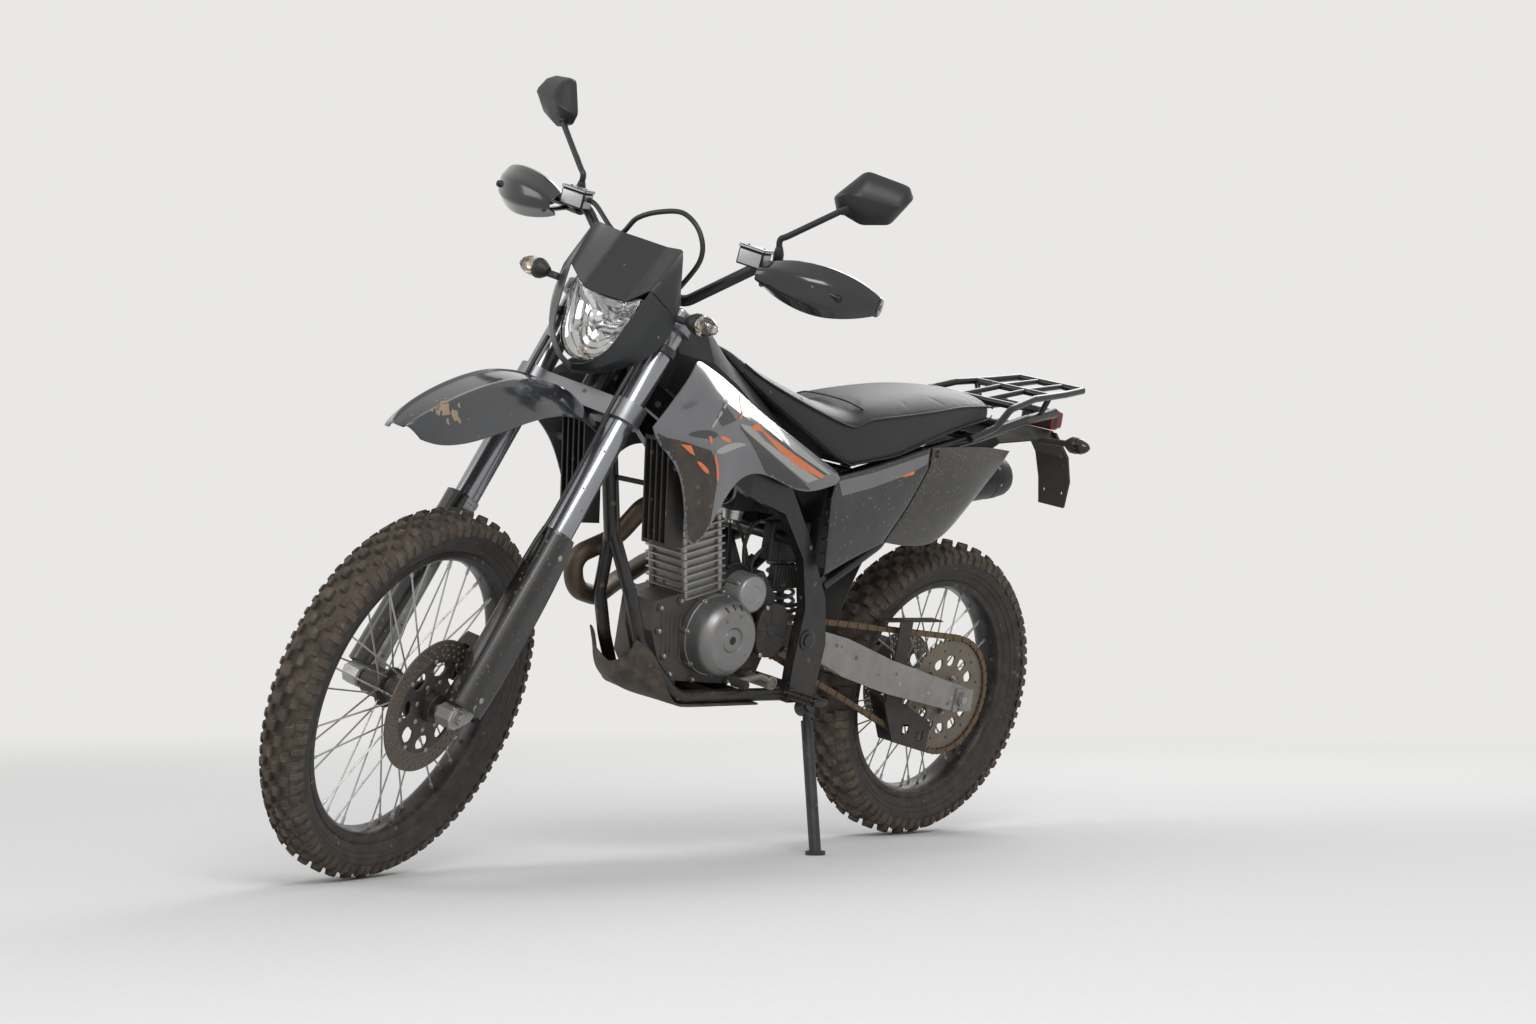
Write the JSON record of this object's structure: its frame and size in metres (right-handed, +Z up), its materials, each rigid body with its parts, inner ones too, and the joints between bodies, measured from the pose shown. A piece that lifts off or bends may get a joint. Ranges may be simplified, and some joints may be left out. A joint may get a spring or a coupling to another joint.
{
  "type": "dual sport motorcycle",
  "caption": "Dual sport motorcycle with knobby tyres, long-travel fork, hand guards, single-cylinder engine, high silencer and rear rack, parked leaning on its side stand.",
  "frame": {"origin": "middle of the floor rectangle under the parked machine, at ground level", "axes": "+Z up, -Y the way the machine points, +X to the machine's left, the side it leans to"},
  "size_m": [0.8502, 2.1646, 1.5411],
  "materials": {
    "fork_alloy": "satin anodised",
    "black_plastic": "moulded matte",
    "black_alloy": "black painted casting",
    "black_steel": "semi-gloss black paint",
    "grip_rubber": "matte",
    "fender_plastic": "gloss moulded, dusty",
    "shroud_plastic": "gloss moulded, grey bands and orange stripes",
    "panel_plastic": "gloss moulded, spattered with dried mud",
    "skid_plastic": "moulded matte, dirty",
    "clear_lens": "clear lens on a black stalk",
    "fin_alloy": "bare cast, fin edges machined",
    "silencer_steel": "heat-proof grey paint",
    "swingarm_alloy": "bare, dull and spotted with dirt",
    "sprocket_steel": "plated steel",
    "lamp_glass": "clear moulded lens over a reflector",
    "amber_lens": "amber lens on a black stalk",
    "red_lens": "red lens",
    "cable_rubber": "sheathed",
    "tyre_rubber": "worn dusty rubber",
    "rim_alloy": "black anodised",
    "hub_steel": "painted hub, plated spokes",
    "disc_steel": "ground steel",
    "engine_alloy": "dark painted casting",
    "header_steel": "heat-tinted stainless",
    "seat_vinyl": "grained vinyl",
    "spring_steel": "painted spring on a steel damper",
    "chain_steel": "oiled steel"
  },
  "bodies": {
    "frame": {"main_frame": "black_steel", "subframe": "black_steel", "engine_cases": "engine_alloy", "engine_covers": "engine_alloy", "engine_cylinder": "fin_alloy", "intake": "black_plastic", "exhaust_header": "header_steel", "silencer": "silencer_steel", "radiators": "black_alloy", "tank": "black_plastic", "seat": "seat_vinyl", "tank_shrouds": "shroud_plastic", "side_panels": "panel_plastic", "tail_panels": "panel_plastic", "rear_fender": "black_plastic", "tail_lamp": "red_lens", "rear_indicators": "amber_lens", "rack": "black_steel", "skid_plate": "skid_plastic", "foot_controls": "black_steel", "swingarm": "swingarm_alloy", "chain_guides": "black_plastic", "shock_absorber": "spring_steel", "chain": "chain_steel", "rear_caliper": "black_alloy"},
    "steering": {"fork_legs": "fork_alloy", "fork_guards": "black_plastic", "triple_clamps": "black_alloy", "handlebar": "black_steel", "grips": "grip_rubber", "hand_guards": "black_plastic", "control_levers": "black_alloy", "mirrors": "black_plastic", "headlight_mask": "black_plastic", "headlight_lamp": "lamp_glass", "front_indicators": "clear_lens", "instrument": "black_plastic", "front_fender": "fender_plastic", "front_caliper": "black_alloy", "front_cables": "cable_rubber"},
    "front_wheel": {"front_tyre": "tyre_rubber", "front_rim": "rim_alloy", "front_hub": "hub_steel", "front_disc": "disc_steel"},
    "rear_wheel": {"rear_tyre": "tyre_rubber", "rear_rim": "rim_alloy", "rear_hub": "hub_steel", "rear_sprocket": "sprocket_steel", "rear_disc": "disc_steel"},
    "side_stand": {"side_stand": "black_steel"}
  },
  "joints": [
    {"name": "steering", "type": "hinge", "parent": "frame", "child": "steering", "pos_m": [-0.07747, -0.36808, 0.9071], "axis": [0.1971, 0.4583, 0.8667], "range_deg": [-55.75, 24.25]},
    {"name": "front_wheel_spin", "type": "hinge", "parent": "steering", "child": "front_wheel", "pos_m": [-0.18943, -0.73879, 0.33511], "axis": [0.9105, 0.2421, -0.3351], "continuous": true},
    {"name": "rear_wheel_spin", "type": "hinge", "parent": "frame", "child": "rear_wheel", "pos_m": [-0.21148, 0.72411, 0.32349], "axis": [0.975, 0.0009, -0.2222], "continuous": true},
    {"name": "side_stand_swing", "type": "hinge", "parent": "frame", "child": "side_stand", "pos_m": [-0.07041, 0.20473, 0.29236], "axis": [0.9821, -0.1054, 0.1559], "range_deg": [0, 88]}
  ]
}
